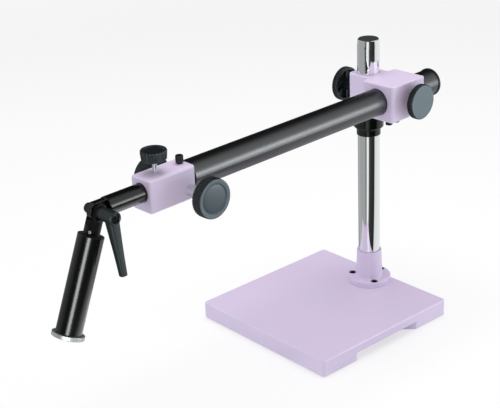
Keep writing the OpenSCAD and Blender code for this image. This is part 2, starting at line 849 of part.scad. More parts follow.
// origin on the tilt pivot, square to the arm, so that -Z hangs straight down
module on_lever() {
    arm_place() translate([boom_side, -pivot_f, pivot_z]) children();
}

module lever_insert() {
    color(black_oxide) on_lever() translate([insert_start, 0, 0]) along_x() difference() {
        union() {
            cylinder(r = insert_flange_r, h = insert_flange_t);
            cylinder(r = insert_core_r, h = insert_end - insert_start);
        }
        translate([0, 0, -1]) cylinder(r = bolt_r + SNUG, h = bolt_end - insert_start + 1.2);
        cylinder(r = lever_screw_r + SNUG, h = insert_end);
    }
}

module clamp_lever() {
    root_r = 7.4;
    tip_r = 4.4;
    root_x = lever_end - root_r - 0.6;
    reach_x = 9;
    reach_y = 2.5;
    color(black_plastic) on_lever() difference() {
        union() {
            translate([lever_start, 0, 0]) along_x() cylinder(r = lever_hub_r, h = lever_end - lever_start);
            hull() {
                translate([root_x, 0, -1]) sphere(r = root_r, $fn = 32);
                translate([root_x + reach_x, reach_y, -lever_len]) sphere(r = tip_r, $fn = 32);
            }
        }
        translate([lever_start - 1, 0, 0]) along_x()
            cylinder(r = insert_core_r + 0.15, h = insert_end + 0.3 - lever_start + 1);
        translate([lever_start, 0, 0]) along_x() cylinder(r = lever_screw_r + 0.2, h = lever_end);
        translate([lever_web_end, 0, 0]) along_x() cylinder(r = lever_well_r, h = lever_end);
    }
}

module lever_spring() {
    color(steel) on_lever() translate([spring_start, 0, 0]) along_x() difference() {
        cylinder(r = lever_screw_head_r - 0.4, h = spring_t);
        translate([0, 0, -1]) cylinder(r = lever_screw_r + 0.9, h = spring_t + 2);
    }
}

module lever_screw() {
    head_x = spring_start + spring_t + 0.1;
    color(black_oxide) on_lever() translate([head_x, 0, 0]) along_x()
        cap_screw(lever_screw_r, head_x - bolt_end - 1.5, lever_screw_head_r, lever_screw_head_h);
}

// ---------------------------------------------------------------- retaining disc

module retaining_disc() {
    color(steel) on_post() translate([0, 0, -post_end - disc_gap - disc_t]) difference() {
        cylinder(r = disc_r, h = disc_t);
        translate([0, 0, -1]) cylinder(r = disc_screw_r + 0.3, h = disc_t + 2);
        translate([0, 0, -1]) cylinder(r = disc_well_r, h = disc_well + 1);
    }
}

module disc_screw() {
    color(black_oxide) on_post() translate([0, 0, -post_end - disc_gap - disc_t + disc_well]) rotate([180, 0, 0])
        cap_screw(disc_screw_r, disc_screw_l, disc_screw_head_r, disc_screw_head_h);
}

// ---------------------------------------------------------------- nodes

base_plate();
foot_pads();
column_socket();
socket_screws();
column_tube();
column_foot_plug();
column_bolt();
column_cap();
safety_collar();
collar_screw();
clamp_block();
guide_screws();
column_brake_shoe();
boom_brake_shoe();
column_clamp_knob();
column_clamp_screw();
boom_clamp_knob();
boom_clamp_screw();
boom_tube();
boom_end_cap();
spigot_screw();
drive_head();
rod_brake_shoe();
tension_screw();
rod_lock_knob();
rod_lock_screw();
bush_right();
bush_left();
pinion_shaft();
pinion_gear();
drive_knob_right();
drive_knob_left();
drive_knob_screws();
extension_rod();
rod_rack();
rack_screws();
post_fork();
drop_post();
fork_screw();
pivot_bolt();
pivot_washers();
lever_insert();
clamp_lever();
lever_spring();
lever_screw();
retaining_disc();
disc_screw();
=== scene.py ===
import json
import math

import bmesh
import bpy
from mathutils import Matrix, Vector


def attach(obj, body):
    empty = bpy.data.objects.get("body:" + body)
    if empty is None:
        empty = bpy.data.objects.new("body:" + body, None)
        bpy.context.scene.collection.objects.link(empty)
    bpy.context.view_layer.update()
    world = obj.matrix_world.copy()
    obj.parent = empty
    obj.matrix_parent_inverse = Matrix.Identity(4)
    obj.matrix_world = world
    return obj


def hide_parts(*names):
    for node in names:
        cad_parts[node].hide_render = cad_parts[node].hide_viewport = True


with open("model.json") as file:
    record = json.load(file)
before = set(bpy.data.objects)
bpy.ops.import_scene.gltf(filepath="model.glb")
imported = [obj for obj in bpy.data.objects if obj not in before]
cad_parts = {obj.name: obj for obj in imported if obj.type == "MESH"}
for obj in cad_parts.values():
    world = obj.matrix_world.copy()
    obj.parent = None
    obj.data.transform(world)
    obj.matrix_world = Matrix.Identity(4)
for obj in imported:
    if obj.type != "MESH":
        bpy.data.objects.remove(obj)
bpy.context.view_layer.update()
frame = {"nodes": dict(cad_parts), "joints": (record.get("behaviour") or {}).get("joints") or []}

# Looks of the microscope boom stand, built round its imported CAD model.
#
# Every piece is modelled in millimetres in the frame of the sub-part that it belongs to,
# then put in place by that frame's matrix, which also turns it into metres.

MM = 0.001
TINY = 1e-6

# ------------------------------------------------------------------ frames of the sub-parts

JOINTS = {joint["name"]: joint for joint in frame["joints"]}
UP = Vector((0, 0, 1))
EAST = Vector((1, 0, 0))
NORTH = Vector((0, 1, 0))
FORWARD = Vector(JOINTS["boom_reach"]["axis"]).normalized()
SIDEWAYS = Vector(JOINTS["boom_knob_turn"]["axis"]).normalized()
POST_UP = -Vector(JOINTS["disc_off"]["axis"]).normalized()


def joint_point(name):
    return Vector(JOINTS[name]["pos_m"])


def place(origin, x_axis, y_axis, z_axis):
    """Matrix that takes millimetres in a sub-part's own frame to metres in the shared frame."""
    matrix = Matrix((x_axis, y_axis, z_axis)).transposed().to_4x4()
    matrix.translation = origin
    return matrix @ Matrix.Scale(MM, 4)


COLUMN_FOOT = Vector((joint_point("arm_swing").x, joint_point("arm_swing").y, 0))
STAND = place(Vector(), EAST, NORTH, UP)
COLUMN = place(COLUMN_FOOT, EAST, NORTH, UP)
ARM = place(COLUMN_FOOT, SIDEWAYS, -FORWARD, UP)
BOOM = place(joint_point("boom_roll"), SIDEWAYS, UP, FORWARD)
BOOM_KNOB = place(joint_point("boom_knob_turn"), -FORWARD, UP, SIDEWAYS)
COLUMN_KNOB = place(joint_point("column_knob_turn"), FORWARD, UP, -SIDEWAYS)
PINION_RIGHT = place(joint_point("pinion_turn"), -FORWARD, UP, SIDEWAYS)
PINION_LEFT = place(joint_point("pinion_turn"), FORWARD, UP, -SIDEWAYS)
ROD_LOCK = place(joint_point("rod_lock_turn"), SIDEWAYS, -FORWARD, UP)
TENSION = place(joint_point("tension_turn"), SIDEWAYS, -FORWARD, UP)
PIVOT = place(joint_point("post_tilt"), -FORWARD, UP, SIDEWAYS)
POST = place(joint_point("post_tilt"), SIDEWAYS, POST_UP.cross(SIDEWAYS), POST_UP)
LEVER = place(joint_point("post_tilt"), SIDEWAYS, -FORWARD, UP)


def span(node, matrix):
    """Lowest and highest corner of a CAD node, in millimetres in a sub-part's frame."""
    inverse = matrix.inverted()
    points = [inverse @ v.co for v in frame["nodes"][node].data.vertices]
    low = Vector(min(p[i] for p in points) for i in range(3))
    high = Vector(max(p[i] for p in points) for i in range(3))
    return low, high


# ------------------------------------------------------------------ mesh tools

def rounded(corners, steps=4):
    """Outline or profile from (x, y, fillet radius) corners, each fillet as an arc."""
    points = []
    for i, (x, y, radius) in enumerate(corners):
        corner = Vector((x, y))
        before = Vector(corners[i - 1][:2]) - corner
        after = Vector(corners[(i + 1) % len(corners)][:2]) - corner
        if radius < TINY or before.length < TINY or after.length < TINY:
            points.append((x, y))
            continue
        before.normalize()
        after.normalize()
        half = before.angle(after) / 2
        centre = corner + (before + after).normalized() * radius / math.sin(half)
        start = corner + before * radius / math.tan(half) - centre
        end = corner + after * radius / math.tan(half) - centre
        turn = start.angle_signed(end)
        for step in range(steps + 1):
            a = -turn * step / steps
            arm = Vector((start.x * math.cos(a) - start.y * math.sin(a),
                          start.x * math.sin(a) + start.y * math.cos(a)))
            points.append(tuple(centre + arm))
    return points


def rectangle(x0, y0, x1, y1, radius=0.0):
    return [(x0, y0, radius), (x1, y0, radius), (x1, y1, radius), (x0, y1, radius)]


def join_rows(bm, low, high):
    """Faces between two rings of vertices; a ring of one vertex is a pole."""
    count = max(len(low), len(high))
    for i in range(count):
        j = (i + 1) % count
        if len(low) == 1:
            bm.faces.new((low[0], high[j], high[i]))
        elif len(high) == 1:
            bm.faces.new((low[i], low[j], high[0]))
        else:
            bm.faces.new((low[i], low[j], high[j], high[i]))


def lathe(profile, steps=96, radius_at=None):
    """Solid of revolution round Z from (radius, height) points.

    A profile that starts and ends on the axis is closed by its poles, any other one by
    joining its end to its start. radius_at(radius, height, angle) can flute the surface.
    """
    bm = bmesh.new()
    rows = []
    for radius, height in profile:
        if radius < TINY:
            rows.append([bm.verts.new((0, 0, height))])
            continue
        row = []
        for i in range(steps):
            angle = 2 * math.pi * i / steps
            r = radius_at(radius, height, angle) if radius_at else radius
            row.append(bm.verts.new((r * math.cos(angle), r * math.sin(angle), height)))
        rows.append(row)
    for low, high in zip(rows, rows[1:]):
        join_rows(bm, low, high)
    if len(rows[0]) > 1:
        join_rows(bm, rows[-1], rows[0])
    return bm


def prism(outline, z0, z1):
    """Solid between z0 and z1 over a flat outline of (x, y) points."""
    bm = bmesh.new()
    low = [bm.verts.new((x, y, z0)) for x, y in outline]
    high = [bm.verts.new((x, y, z1)) for x, y in outline]
    bm.faces.new(low[::-1])
    bm.faces.new(high)
    join_rows(bm, low, high)
    return bm


def rod(radius, z0, z1, steps=64):
    return lathe([(0, z0), (radius, z0), (radius, z1), (0, z1)], steps)


def solid(bm, matrix=None):
    """Object, still in millimetres, from a bmesh, moved by a matrix within its frame."""
    if matrix is not None:
        bm.transform(matrix)
    bmesh.ops.recalc_face_normals(bm, faces=bm.faces)
    mesh = bpy.data.meshes.new("solid")
    bm.to_mesh(mesh)
    bm.free()
    obj = bpy.data.objects.new("solid", mesh)
    bpy.context.scene.collection.objects.link(obj)
    return obj


def settle(obj):
    """Makes an object's modifiers part of its mesh."""
    graph = bpy.context.evaluated_depsgraph_get()
    mesh = bpy.data.meshes.new_from_object(obj.evaluated_get(graph))
    old = obj.data
    obj.modifiers.clear()
    obj.data = mesh
    bpy.data.meshes.remove(old)
    return obj


def combine(obj, others, operation):
    for other in others:
        modifier = obj.modifiers.new("combine", "BOOLEAN")
        modifier.operation = operation
        modifier.solver = "EXACT"
        modifier.object = other
        settle(obj)
        bpy.data.objects.remove(other)
    return obj


def cut(obj, *cutters):
    return combine(obj, cutters, "DIFFERENCE")


def fuse(obj, *others):
    return combine(obj, others, "UNION")


def soften(obj, width, segments=3, angle=40):
    """Rounds every edge sharper than an angle."""
    modifier = obj.modifiers.new("soften", "BEVEL")
    modifier.width = width
    modifier.segments = segments
    modifier.limit_method = "ANGLE"
    modifier.angle_limit = math.radians(angle)
    modifier.harden_normals = False
    return settle(obj)


def group(parts):
    """Joins several solids into one object; they stay separate shells."""
    bm = bmesh.new()
    for part in parts:
        bm.from_mesh(part.data)
        bpy.data.objects.remove(part)
    return solid(bm)


def shade(obj, angle=32):
    obj.data.shade_smooth()
    obj.data.set_sharp_from_angle(angle=math.radians(angle))
    obj.modifiers.new("normals", "WEIGHTED_NORMAL").keep_sharp = True
    return settle(obj)


def show(obj, name, matrix, body, slot, material, *nodes):
    """Puts a finished piece in place, in its body's hands and in its material."""
    obj.data.transform(matrix)
    obj.name = name
    obj.data.name = name
    shade(obj)
    obj.data.materials.clear()
    obj.data.materials.append(material)
    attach(obj, body)
    if nodes:
        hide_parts(*nodes)
    return obj


def sheen_face(obj, matrix, depth, radius, material):
    """Gives a shown piece's end face, out to a radius and down to a depth, a lighter material of its own: a
    painted sheen for the light that the face catches.
    """
    obj.data.materials.append(material)
    index = len(obj.data.materials) - 1
    inverse = matrix.inverted()
    top = max((inverse @ v.co).z for v in obj.data.vertices)
    for polygon in obj.data.polygons:
        centre = inverse @ polygon.center
        if centre.z > top - depth and math.hypot(centre.x, centre.y) < radius:
            polygon.material_index = index


def finish_cad(node, material):
    """Gives a CAD node that is shown as it is its finished material."""
    obj = frame["nodes"][node]
    obj.data.materials.clear()
    obj.data.materials.append(material)


def along_x(sign=1):
    """Turns +Z into +X or -X."""
    return Matrix.Rotation(sign * math.pi / 2, 4, "Y")


def moved(x, y, z):
    return Matrix.Translation(Vector((x, y, z)))


# ------------------------------------------------------------------ materials

class Shader:
    """One node-based material with its Principled shader."""

    def __init__(self, name, colour, roughness, metallic=0.0, **sockets):
        self.material = bpy.data.materials.new(name)
        self.material.use_nodes = True
        self.nodes = self.material.node_tree.nodes
        self.links = self.material.node_tree.links
        self.bsdf = self.nodes["Principled BSDF"]
        self.bsdf.inputs["Base Color"].default_value = (*colour, 1)
        self.bsdf.inputs["Roughness"].default_value = roughness
        self.bsdf.inputs["Metallic"].default_value = metallic
        for socket, value in sockets.items():
            self.bsdf.inputs[socket.replace("_", " ")].default_value = value
        self.colour = (*colour, 1)
        self.height = None
        self.position = self.add("ShaderNodeTexCoord").outputs["Object"]

    def add(self, kind, **inputs):
        node = self.nodes.new(kind)
        for name, value in inputs.items():
            self.feed(node.inputs[name.replace("_", " ")], value)
        return node

    def feed(self, socket, value):
        if isinstance(value, bpy.types.NodeSocket):
            self.links.new(value, socket)
        else:
            socket.default_value = value

    def stretched(self, scale):
        """Object coordinates in metres, scaled along each axis."""
        node = self.add("ShaderNodeMapping", Vector=self.position)
        node.inputs["Scale"].default_value = scale
        return node.outputs["Vector"]

    def noise(self, size_mm, detail=2.0, rough=0.5, vector=None):
        """Noise from 0 to 1 whose features are about size_mm across."""
        node = self.add("ShaderNodeTexNoise", Vector=vector or self.position,
                        Scale=1 / (size_mm * MM), Detail=detail, Roughness=rough)
        return node.outputs["Fac"]

    def ramp(self, value, *stops):
        """Maps a value to grey levels at (position, level) stops."""
        node = self.add("ShaderNodeValToRGB", Fac=value)
        elements = node.color_ramp.elements
        while len(elements) < len(stops):
            elements.new(0.5)
        for element, (position, level) in zip(elements, stops):
            element.position = position
            element.color = (level, level, level, 1)
        return node.outputs["Color"]

    def spread(self, value, low, high):
        """Maps 0 to 1 on to low to high."""
        node = self.add("ShaderNodeMapRange", Value=value, To_Min=low, To_Max=high)
        return node.outputs["Result"]

    def maths(self, operation, a, b=0.0):
        node = self.nodes.new("ShaderNodeMath")
        node.operation = operation
        self.feed(node.inputs[0], a)
        self.feed(node.inputs[1], b)
        return node.outputs["Value"]

    def mix(self, factor, colour, base=None):
        """Mixes a colour over what the base colour already is."""
        node = self.nodes.new("ShaderNodeMix")
        node.data_type = "RGBA"
        links = self.bsdf.inputs["Base Color"].links
        below = links[0].from_socket if links else self.colour
        self.feed(node.inputs[6], base or below)
        self.feed(node.inputs[7], colour)
        self.feed(node.inputs[0], factor)
        self.links.new(node.outputs[2], self.bsdf.inputs["Base Color"])

    def edges(self, width_mm):
        """1 on convex and concave edges, 0 on flat ground."""
        bevel = self.add("ShaderNodeBevel", Radius=width_mm * MM)
        bevel.samples = 4
        flat = self.add("ShaderNodeNewGeometry").outputs["Normal"]
        dot = self.nodes.new("ShaderNodeVectorMath")
        dot.operation = "DOT_PRODUCT"
        self.links.new(bevel.outputs["Normal"], dot.inputs[0])
        self.links.new(flat, dot.inputs[1])
        return self.ramp(dot.outputs["Value"], (0.80, 1), (0.985, 0))

    def bump(self, height, depth_mm, strength=1.0):
        """Adds a relief of a real depth on top of the ones that are there."""
        node = self.add("ShaderNodeBump", Height=height, Strength=strength)
        node.inputs["Distance"].default_value = depth_mm * MM
        links = self.bsdf.inputs["Normal"].links
        if links:
            self.links.new(links[0].from_socket, node.inputs["Normal"])
        self.links.new(node.outputs["Normal"], self.bsdf.inputs["Normal"])

    def roughness(self, value):
        self.feed(self.bsdf.inputs["Roughness"], value)


def lilac_paint():
    """Stoved paint: fine orange peel, soft mottling, edges rubbed a little lighter."""
    s = Shader("lilac_paint", (0.685, 0.59, 0.775), 0.42)
    mottle = s.noise(38, 3)
    s.mix(s.spread(mottle, 0.0, 0.35), (0.72, 0.60, 0.775, 1))
    grime = s.ramp(s.noise(11, 5, 0.6), (0.60, 0), (0.86, 0.10))
    s.mix(grime, (0.50, 0.44, 0.56, 1))
    s.mix(s.maths("MULTIPLY", s.edges(0.7), 0.45), (0.80, 0.72, 0.87, 1))
    s.roughness(s.spread(s.noise(5, 4, 0.6), 0.36, 0.50))
    s.bump(s.noise(1.1, 2), 0.018)
    s.bump(s.noise(0.32, 1), 0.006)
    return s.material


def chrome():
    """Hard chrome with faint draw lines and a few smears."""
    s = Shader("chrome", (0.88, 0.89, 0.90), 0.05, 1.0)
    lines = s.noise(0.35, 2, 0.5, s.stretched((1, 1, 0.02)))
    smear = s.ramp(s.noise(16, 4, 0.6), (0.48, 0), (0.75, 0.10))
    s.roughness(s.maths("ADD", s.spread(lines, 0.03, 0.06), smear))
    s.bump(lines, 0.0006)
    return s.material


def boom_grey():
    """Dark grey anodising on a drawn tube."""
    s = Shader("boom_grey", (0.095, 0.097, 0.101), 0.36, 1.0)
    s.mix(s.spread(s.noise(22, 4), 0.0, 0.5), (0.115, 0.116, 0.120, 1))
    s.mix(s.maths("MULTIPLY", s.edges(0.5), 0.5), (0.30, 0.30, 0.31, 1))
    s.roughness(s.spread(s.noise(3.5, 4, 0.6), 0.31, 0.39))
    s.bump(s.noise(0.8, 2), 0.0025)
    return s.material


def black_metal(name="black_metal", roughness=0.21):
    """Black coated steel, satin, bright where an edge has rubbed."""
    s = Shader(name, (0.0012, 0.0013, 0.0015), roughness)
    s.mix(s.spread(s.noise(14, 4), 0.0, 0.6), (0.003, 0.0032, 0.0035, 1))
    s.mix(s.maths("MULTIPLY", s.edges(0.45), 0.5), (0.07, 0.07, 0.073, 1))
    s.roughness(s.spread(s.noise(2.6, 4, 0.6), roughness - 0.03, roughness + 0.05))
    s.bump(s.noise(0.8, 2), 0.002)
    return s.material


def black_plastic(name="black_plastic", colour=(0.003, 0.0048, 0.006)):
    """Moulded plastic with a fine spark-eroded grain."""
    s = Shader(name, colour, 0.46, Specular_IOR_Level=0.8, Specular_Tint=(0.84, 0.97, 1.0, 1))
    s.mix(s.spread(s.noise(9, 3), 0.0, 0.5), (*(1.35 * c for c in colour), 1))
    s.mix(s.maths("MULTIPLY", s.edges(0.4), 0.4), (0.06, 0.07, 0.075, 1))
    s.roughness(s.spread(s.noise(1.8, 4, 0.6), 0.43, 0.53))
    s.bump(s.noise(0.28, 1), 0.012)
    return s.material


def turned_steel(name="bright_steel", colour=(0.74, 0.75, 0.76), roughness=0.24):
    """Turned steel: fine tool rings and a little staining."""
    s = Shader(name, colour, roughness, 1.0)
    rings = s.noise(0.30, 2)
    s.mix(s.ramp(s.noise(6, 4, 0.6), (0.5, 0), (0.85, 0.3)), (0.55, 0.54, 0.53, 1))
    s.roughness(s.spread(rings, roughness - 0.06, roughness + 0.08))
    s.bump(rings, 0.002)
    return s.material


def black_oxide():
    """Blackened screw steel."""
    s = Shader("black_oxide", (0.022, 0.022, 0.024), 0.34, 0.7)
    s.mix(s.maths("MULTIPLY", s.edges(0.25), 0.6), (0.20, 0.20, 0.20, 1))
    s.roughness(s.spread(s.noise(1.2, 3), 0.27, 0.42))
    s.bump(s.noise(0.2, 1), 0.003)
    return s.material


def brass():
    s = Shader("brass", (0.72, 0.52, 0.22), 0.28, 1.0)
    s.mix(s.ramp(s.noise(3, 4), (0.45, 0), (0.8, 0.45)), (0.42, 0.28, 0.12, 1))
    s.roughness(s.spread(s.noise(0.8, 3), 0.22, 0.38))
    return s.material


def rubber():
    s = Shader("rubber", (0.018, 0.018, 0.019), 0.78)
    s.mix(s.ramp(s.noise(2.4, 5), (0.5, 0), (0.9, 0.5)), (0.06, 0.058, 0.055, 1))
    s.bump(s.noise(0.4, 3), 0.02)
    return s.material


PAINT = lilac_paint()
CHROME = chrome()
BOOM_GREY = boom_grey()
BLACK_METAL = black_metal()
COLLAR_BLACK = black_metal("collar_black", 0.16)
FORK_BLACK = black_metal("fork_black", 0.46)
PLASTIC = black_plastic()
# Lighter blue-grey plastics for the knobs' end faces are a painted sheen for the light these faces catch; the
# darker one is for a drive knob's domed middle.
SHEEN_SLATE = black_plastic("sheen_cap", (0.080, 0.106, 0.124))
DIM_SHEEN_SLATE = black_plastic("dim_sheen_cap", (0.050, 0.067, 0.076))
# Greyer plastic for the column's top cap is a painted reflection of the bright room above.
CAP_SHEEN_BLACK = black_plastic("cap_sheen_black", (0.030, 0.032, 0.034))
SATIN_STEEL = turned_steel("satin_steel", (0.74, 0.78, 0.77), 0.42)
DULL_STEEL = turned_steel("dull_steel", (0.30, 0.31, 0.32), 0.50)
STEEL = turned_steel()
ZINC = turned_steel("zinc_steel", (0.60, 0.70, 0.70), 0.30)
OXIDE = black_oxide()
BRASS = brass()
RUBBER = rubber()

# ------------------------------------------------------------------ repeated forms

def cap_screw(shank_r, shank_l, head_r, head_h, knurls=40):
    """Socket-head screw standing on its head's underside, hexagon socket up."""
    chamfer = head_h * 0.09

    def knurled(radius, height, angle):
        on_side = radius > head_r - TINY and 0 < height < head_h - chamfer / 2
        return radius - (0.012 * head_r * (1 + math.cos(knurls * angle)) if on_side else 0)

    profile = [(0, -shank_l), (shank_r * 0.8, -shank_l), (shank_r, -shank_l + 0.25 * shank_r),
               (shank_r, 0), (head_r - chamfer, 0), (head_r, chamfer),
               (head_r, head_h - 1.6 * chamfer), (head_r - 0.5 * chamfer, head_h - 0.5 * chamfer),
               (head_r - 1.6 * chamfer, head_h), (0, head_h)]
    screw = solid(lathe(profile, knurls * 4, knurled))
    socket = solid(hexagon(head_r * 0.56, head_h * 0.42, head_h + 1))
    entry = solid(lathe([(0, head_h - 0.18 * head_r), (head_r * 0.40, head_h - 0.18 * head_r),
                         (head_r * 0.66, head_h + 0.1), (0, head_h + 0.1)], 48))
    return cut(screw, socket, entry)


def hexagon(radius, z0, z1):
    """Hexagonal prism of a given radius to its corners."""
    corners = [(radius * math.cos(i * math.pi / 3), radius * math.sin(i * math.pi / 3)) for i in range(6)]
    return prism(corners, z0, z1)


def grub_screw(radius, length):
    """Headless screw with its socket end at the origin and its point at -length."""
    bevel = radius * 0.22
    profile = [(0, -length), (radius * 0.55, -length), (radius, -length + radius * 0.5),
               (radius, -bevel), (radius - bevel, 0), (0, 0)]
    return cut(solid(lathe(profile, 48)), solid(hexagon(radius * 0.55, -length * 0.5, 1)))


def fluted(flutes, depth, rim, z0, z1, sharpness=1.0):
    """Radius function with grooves all round the rim between z0 and z1; sharper ones are narrower."""
    def radius_at(radius, height, angle):
        if radius < rim - TINY or not z0 - TINY <= height <= z1 + TINY:
            return radius
        wave = (1 + math.cos(flutes * angle)) / 2
        return radius - depth * wave ** sharpness
    return radius_at


# ------------------------------------------------------------------ base and column

def make_base():
    low, high = span("base_plate", STAND)
    half = high.x
    outline = rounded(rectangle(-half, -half, half, half, 5), 6)
    plate = soften(solid(prism(outline, low.z, high.z)), 2.0, 5)
    grip_len, grip_h, grip_depth = 126, 12, 30
    recess = rounded([(-half - 5, -grip_len / 2, 0), (-half, -grip_len / 2, 0),
                      (-half + grip_depth, -grip_len / 2 + grip_depth, 5),
                      (-half + grip_depth, grip_len / 2 - grip_depth, 5),
                      (-half, grip_len / 2, 0), (-half - 5, grip_len / 2, 0)], 5)
    top = low.z + grip_h
    grips = [solid(prism(recess, low.z - 5, top), Matrix.Scale(side, 4, EAST)) for side in (1, -1)]
    cut(plate, *grips)
    soften(plate, 0.8, 3, 38)
    pad_r, bolt_pocket_r = 14, 9
    inset = -span("foot_pads", STAND)[0].x - pad_r
    places = [moved(x * inset, y * inset, 0) for x in (-1, 1) for y in (-1, 1)]
    pockets = [solid(rod(pad_r + 0.5, low.z - 1, low.z + 2), corner) for corner in places]
    column_y = COLUMN_FOOT.y / MM
    pockets.append(solid(rod(bolt_pocket_r, low.z - 1, low.z + 11), moved(0, column_y, 0)))
    cut(plate, *pockets)
    show(plate, "base_shell", STAND, "stand", "lilac_paint", PAINT, "base_plate")

    profile = rounded([(0, 0, 0), (5, 0, 0), (5, 0.6, 0.2), (8, 0.6, 0.2), (8, 0, 0.2),
                       (pad_r, 0, 0.7), (pad_r, 3, 0), (0, 3, 0)])
    pads = [solid(lathe(profile, 64), corner) for corner in places]
    show(group(pads), "rubber_pads", STAND, "stand", "rubber", RUBBER, "foot_pads")


def flange_places():
    """Where the three screws of the column's flange stand, one of them at the rear."""
    for i in range(3):
        yield Matrix.Rotation(math.radians(90 + 120 * i), 4, "Z") @ moved(26, 0, 0)


def make_column():
    low, high = span("column_socket", COLUMN)
    flange_r = high.x
    bore = span("column_tube", COLUMN)[1].x
    flange_top = low.z + 8.8
    well_depth = 6.5
    profile = rounded([(bore + 0.02, low.z, 0), (flange_r, low.z, 0.4), (flange_r, flange_top, 1.3),
                       (20.1, flange_top, 1.8), (18.5, high.z, 1.0), (bore + 0.02, high.z, 0.3)], 5)
    socket = solid(lathe(profile, 128))
    wells = [solid(rod(5.6, flange_top - well_depth, flange_top + 2, 48), m) for m in flange_places()]
    socket = soften(cut(socket, *wells), 0.35, 2, 50)
    show(socket, "socket_shell", COLUMN, "stand", "lilac_paint", PAINT, "column_socket")

    screws = []
    for m in flange_places():
        screw = cap_screw(3, 14, 5, 6)
        screw.data.transform(m @ moved(0, 0, flange_top - well_depth))
        screws.append(screw)
    show(group(screws), "flange_screws", COLUMN, "stand", "black_oxide", OXIDE, "socket_screws")

    low, high = span("column_tube", COLUMN)
    radius, bored_r, rolled, rolled_r, steps = high.x, 13, 11, 15.1, 8
    taper = []
    for i in range(steps + 1):
        share = i / steps
        taper.append((radius - (radius - rolled_r) * share ** 1.2, high.z - 0.5 - rolled * (1 - share)))
    profile = [(bored_r, low.z), (radius, low.z), *taper, (rolled_r - 0.5, high.z), (bored_r, high.z)]
    tube = solid(lathe(profile, 160))
    show(tube, "chromed_tube", COLUMN, "stand", "chrome", CHROME, "column_tube")

    low, high = span("column_cap", COLUMN)
    plug_r, rim_r = 12.9, 14.6
    cap = lathe(rounded([(0, low.z, 0), (plug_r, low.z, 0.5), (plug_r, high.z - 1.2, 0),
                         (rim_r, high.z - 0.8, 0.1), (rim_r, high.z, 0.4), (0, high.z, 0)]), 96)
    # The cap's greyer plastic is a painted reflection of the light from above.
    show(solid(cap), "top_cap", COLUMN, "stand", "black_plastic", CAP_SHEEN_BLACK, "column_cap")


def make_collar():
    low, high = span("safety_collar", ARM)
    radius = high.x
    bore, lip_r, band_h = 16.05, 17.6, 29.5
    step_top = low.z + 11
    profile = rounded([(bore, low.z, 0.4), (lip_r, low.z, 0.7), (lip_r, step_top - 1, 0.8),
                       (radius, step_top + 1.2, 2.2), (radius, high.z, 1.2), (bore, high.z, 0.4)], 6)
    collar = solid(lathe(profile, 128))
    hole_z = high.z - band_h / 2
    hole = solid(rod(3.05, 0, 12, 32), moved(0, bore - 1, hole_z) @ Matrix.Rotation(-math.pi / 2, 4, "X"))
    collar = soften(cut(collar, hole), 0.3, 2, 50)
    show(collar, "stop_collar", ARM, "collar", "collar_black", COLLAR_BLACK, "safety_collar")
    finish_cad("collar_screw", OXIDE)


# ------------------------------------------------------------------ clamp block and its knobs

def make_clamp_block():
    low, high = span("clamp_block", ARM)
    boom = BOOM.translation
    side = (ARM.inverted() @ boom).x
    boom_z = boom.z / MM
    outline = rounded([(-21, -21, 7), (19, -21, 2.5), (19, low.y, 4), (high.x, low.y, 4),
                       (high.x, high.y, 4), (19, high.y, 4), (19, 21, 2.5), (-21, 21, 7)], 7)
    block = soften(solid(prism(outline, low.z, high.z)), 2.2, 5, 38)
    column_bore = solid(rod(16.1, low.z - 5, high.z + 5, 96))
    boom_bore = solid(rod(19.1, -60, 60, 96), moved(side, 0, boom_z) @ Matrix.Rotation(math.pi / 2, 4, "X"))
    cut(block, column_bore, boom_bore)
    soften(block, 0.7, 3, 45)
    screw_holes = [solid(rod(4.1, -30, -17, 32), moved(0, 0, boom_z) @ along_x()),
                   solid(rod(4.1, side + 20, high.x + 5, 32), moved(0, 4, boom_z) @ along_x())]
    cut(block, *screw_holes)
    show(block, "clamp_casting", ARM, "arm_block", "lilac_paint", PAINT, "clamp_block")

    screws = []
    for forward in (26.5, 11.5):
        screw = cap_screw(3, 9, 5, 6)
        screw.data.transform(moved(61, -forward, low.z) @ Matrix.Rotation(math.pi, 4, "X"))
        screws.append(screw)
    show(group(screws), "under_screws", ARM, "arm_block", "black_oxide", OXIDE, "guide_screws")
    for node in ("column_brake_shoe", "boom_brake_shoe", "rod_brake_shoe"):
        finish_cad(node, BRASS)


def clamp_knob(radius, thickness, boss_end):
    """Hollow knob: closed face at +thickness, open back at 0, boss down to boss_end."""
    rim = radius - 4
    back = thickness - 2.5
    boss_r = 9
    profile = rounded([(0, boss_end, 0), (boss_r, boss_end, 0.6), (boss_r, back, 1.0), (rim, back, 0.8),
                       (rim, 0.3, 0.3), (radius - 0.8, 0, 0.5), (radius, 1.2, 0.5),
                       (radius, thickness - 1.4, 0.3), (radius - 1.5, thickness, 0.8), (0, thickness, 0)], 4)
    knob = solid(lathe(profile, 288, fluted(36, 1.5, radius - 0.05, 0.9, thickness - 1.1, 0.7)))
    webs = []
    for i in range(6):
        web = prism(rectangle_points(boss_r - 0.5, -0.9, rim + 0.5, 0.9), 1.2, back + 0.5)
        webs.append(solid(web, Matrix.Rotation(math.radians(60 * i + 30), 4, "Z")))
    return fuse(knob, *webs)


def rectangle_points(x0, y0, x1, y1):
    return [(x0, y0), (x1, y0), (x1, y1), (x0, y1)]


def make_clamp_knobs():
    for name, node, matrix, body, boss in (
            ("boom_knob_cap", "boom_clamp_knob", BOOM_KNOB, "boom_knob", -9),
            ("column_knob_cap", "column_clamp_knob", COLUMN_KNOB, "column_knob", -12)):
        low, high = span(node, matrix)
        knob = clamp_knob(high.y, high.z, boss)
        show(knob, name, matrix, body, "black_plastic", PLASTIC, node)
        # Painted sheen: the knob's end face gets the lighter plastic.
        sheen_face(knob, matrix, 1, high.y - 1.2, SHEEN_SLATE)
    finish_cad("boom_clamp_screw", ZINC)
    finish_cad("column_clamp_screw", ZINC)


# ------------------------------------------------------------------ boom and drive head

